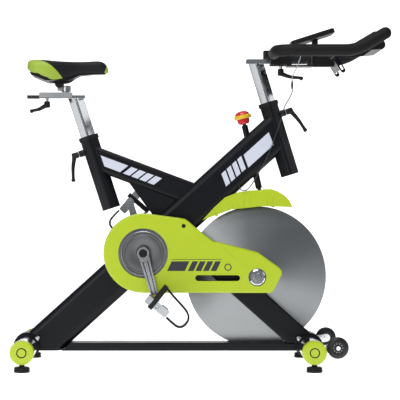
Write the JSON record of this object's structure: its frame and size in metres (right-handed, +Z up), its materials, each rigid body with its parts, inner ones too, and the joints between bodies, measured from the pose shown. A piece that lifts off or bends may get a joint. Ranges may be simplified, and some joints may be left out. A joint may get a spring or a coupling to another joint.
{
  "type": "exercise bike",
  "caption": "Indoor exercise bike with a heavy flywheel, belt drive, friction brake knob and a saddle and handlebar that adjust up, down, fore and aft.",
  "frame": {"origin": "on the floor under the middle of the bike's length and width", "axes": "+X forward (towards the handlebar), +Y to the rider's left, +Z up"},
  "size_m": [1.2041, 0.532, 1.094],
  "materials": {
    "black_paint": "satin black powder coat",
    "chrome_tube": "polished chrome",
    "chrome_post": "polished chrome",
    "brushed_steel": "brushed",
    "flywheel_steel": "smooth polished steel",
    "crank_metal": "polished",
    "pedal_metal": "satin",
    "lime_plastic": "glossy lime green",
    "black_plastic": "moulded, slightly textured",
    "foam": "dense foam sleeve",
    "saddle_cover": "black cover with lime green side panels",
    "rubber_black": "black rubber",
    "wheel_rubber": "polyurethane roller",
    "knob_plastic": "red with a yellow ring",
    "strap_black": "moulded clip and woven strap",
    "cable_grey": "soft cable sheath",
    "brake_metal": "black steel with a felt pad"
  },
  "bodies": {
    "frame": {"main_beam": "black_paint", "seat_beam": "black_paint", "front_leg_left": "black_paint", "front_leg_right": "black_paint", "floor_bar": "black_paint", "seat_sleeve": "black_paint", "head_sleeve": "black_paint", "seat_collar": "black_plastic", "head_collar": "black_plastic", "rear_stabilizer": "chrome_tube", "front_stabilizer": "chrome_tube", "rear_cap_left": "lime_plastic", "rear_cap_right": "lime_plastic", "front_cap_left": "lime_plastic", "front_cap_right": "lime_plastic", "bottom_bracket": "brushed_steel", "flywheel_bearing_left": "brushed_steel", "flywheel_bearing_right": "brushed_steel", "drive_belt": "rubber_black", "drive_guard": "lime_plastic", "guard_back": "black_plastic", "flywheel_shroud": "lime_plastic", "sensor_lead": "cable_grey"},
    "crank": {"drive_pulley": "brushed_steel", "crank_disc": "crank_metal", "crank_arm_left": "crank_metal", "crank_arm_right": "crank_metal"},
    "pedal_left_turning": {"pedal_left": "pedal_metal", "toe_clip_left": "strap_black"},
    "pedal_right_turning": {"pedal_right": "pedal_metal", "toe_clip_right": "strap_black"},
    "flywheel_turning": {"flywheel": "flywheel_steel", "flywheel_axle": "chrome_tube"},
    "brake": {"brake_plunger": "brake_metal"},
    "knob": {"resistance_knob": "knob_plastic"},
    "seat_column": {"seat_post": "chrome_post"},
    "seat_column_lever": {"seat_post_lever": "black_plastic"},
    "seat_slider": {"seat_carriage": "brushed_steel"},
    "seat_slider_lever": {"seat_slide_lever": "black_plastic"},
    "saddle": {"saddle_pad": "saddle_cover", "saddle_shell": "black_plastic"},
    "handlebar_column": {"handlebar_post": "chrome_post", "lead_plug": "black_plastic"},
    "handlebar_column_lever": {"handlebar_post_lever": "black_plastic"},
    "handlebar": {"handlebar_carriage": "black_plastic", "handlebar_tube": "black_paint", "grip_left": "foam", "grip_right": "foam", "tray_bracket": "brushed_steel", "accessory_tray": "black_plastic", "console": "black_plastic", "console_lead": "cable_grey"},
    "handlebar_slider_lever": {"handlebar_slide_lever": "black_plastic"},
    "foot_rear_left": {"rear_foot_left": "rubber_black"},
    "foot_rear_right": {"rear_foot_right": "rubber_black"},
    "foot_front_left": {"front_foot_left": "rubber_black"},
    "foot_front_right": {"front_foot_right": "rubber_black"},
    "wheel_left": {"transport_wheel_left": "wheel_rubber"},
    "wheel_right": {"transport_wheel_right": "wheel_rubber"}
  },
  "joints": [
    {"name": "flywheel_spin", "type": "hinge", "parent": "frame", "child": "flywheel_turning", "pos_m": [0.181, 0, 0.2885], "axis": [0, 1, 0], "continuous": true},
    {"name": "crank_spin", "type": "hinge", "parent": "frame", "child": "crank", "pos_m": [-0.186, 0, 0.366], "axis": [0, 1, 0], "continuous": true},
    {"name": "pedal_right_spin", "type": "hinge", "parent": "crank", "child": "pedal_right_turning", "pos_m": [-0.14057, -0.16, 0.20218], "axis": [0, 1, 0], "continuous": true},
    {"name": "pedal_left_spin", "type": "hinge", "parent": "crank", "child": "pedal_left_turning", "pos_m": [-0.23143, 0.16, 0.52982], "axis": [0, 1, 0], "continuous": true},
    {"name": "brake_push", "type": "slide", "parent": "frame", "child": "brake", "axis": [0.225, 0, -0.9744], "range_m": [0, 0.0035], "stiffness_N_per_m": 3000, "springref_m": -0.008},
    {"name": "knob_turn", "type": "hinge", "parent": "brake", "child": "knob", "pos_m": [0.1485, 0, 0.7605], "axis": [-0.225, 0, 0.9744], "range_deg": [-720, 720]},
    {"name": "seat_post_slide", "type": "slide", "parent": "frame", "child": "seat_column", "axis": [-0.309, 0, 0.9511], "range_m": [-0.1, 0.06]},
    {"name": "seat_post_lever_turn", "type": "hinge", "parent": "frame", "child": "seat_column_lever", "pos_m": [-0.39905, 0, 0.68421], "axis": [-0.9511, 0, -0.309], "range_deg": [-75, 75]},
    {"name": "seat_slide", "type": "slide", "parent": "seat_column", "child": "seat_slider", "axis": [1, 0, 0], "range_m": [-0.036, 0.03]},
    {"name": "seat_slide_lever_turn", "type": "hinge", "parent": "seat_slider", "child": "seat_slider_lever", "pos_m": [-0.5, 0, 0.86], "axis": [0, 0, 1], "range_deg": [-60, 60]},
    {"name": "saddle_tilt", "type": "hinge", "parent": "seat_slider", "child": "saddle", "pos_m": [-0.46, 0, 0.915], "axis": [0, 1, 0], "range_deg": [-8, 8]},
    {"name": "handlebar_post_slide", "type": "slide", "parent": "frame", "child": "handlebar_column", "axis": [-0.2924, 0, 0.9563], "range_m": [-0.1, 0.03], "deforming": ["sensor_lead"]},
    {"name": "handlebar_post_lever_turn", "type": "hinge", "parent": "frame", "child": "handlebar_column_lever", "pos_m": [0.28176, 0, 0.8241], "axis": [0.9563, 0, 0.2924], "range_deg": [-75, 75]},
    {"name": "handlebar_slide", "type": "slide", "parent": "handlebar_column", "child": "handlebar", "axis": [1, 0, 0], "range_m": [-0.014, 0.045], "deforming": ["console_lead"]},
    {"name": "handlebar_slide_lever_turn", "type": "hinge", "parent": "handlebar", "child": "handlebar_slider_lever", "pos_m": [0.262, 0, 0.96], "axis": [0, 0, 1], "range_deg": [0, 75]},
    {"name": "transport_wheel_left_spin", "type": "hinge", "parent": "frame", "child": "wheel_left", "pos_m": [0.428, 0.195, 0.072], "axis": [0, 1, 0], "continuous": true},
    {"name": "transport_wheel_right_spin", "type": "hinge", "parent": "frame", "child": "wheel_right", "pos_m": [0.428, -0.195, 0.072], "axis": [0, 1, 0], "continuous": true},
    {"name": "rear_foot_left_turn", "type": "hinge", "parent": "frame", "child": "foot_rear_left", "pos_m": [-0.562, 0.241, 0], "axis": [0, 0, 1], "range_deg": [-180, 180]},
    {"name": "rear_foot_right_turn", "type": "hinge", "parent": "frame", "child": "foot_rear_right", "pos_m": [-0.562, -0.241, 0], "axis": [0, 0, 1], "range_deg": [-180, 180]},
    {"name": "front_foot_left_turn", "type": "hinge", "parent": "frame", "child": "foot_front_left", "pos_m": [0.35, 0.241, 0], "axis": [0, 0, 1], "range_deg": [-180, 180]},
    {"name": "front_foot_right_turn", "type": "hinge", "parent": "frame", "child": "foot_front_right", "pos_m": [0.35, -0.241, 0], "axis": [0, 0, 1], "range_deg": [-180, 180]}
  ],
  "couplings": [
    {"joint": "crank_spin", "follows": "flywheel_spin", "ratio": 0.3111}
  ]
}
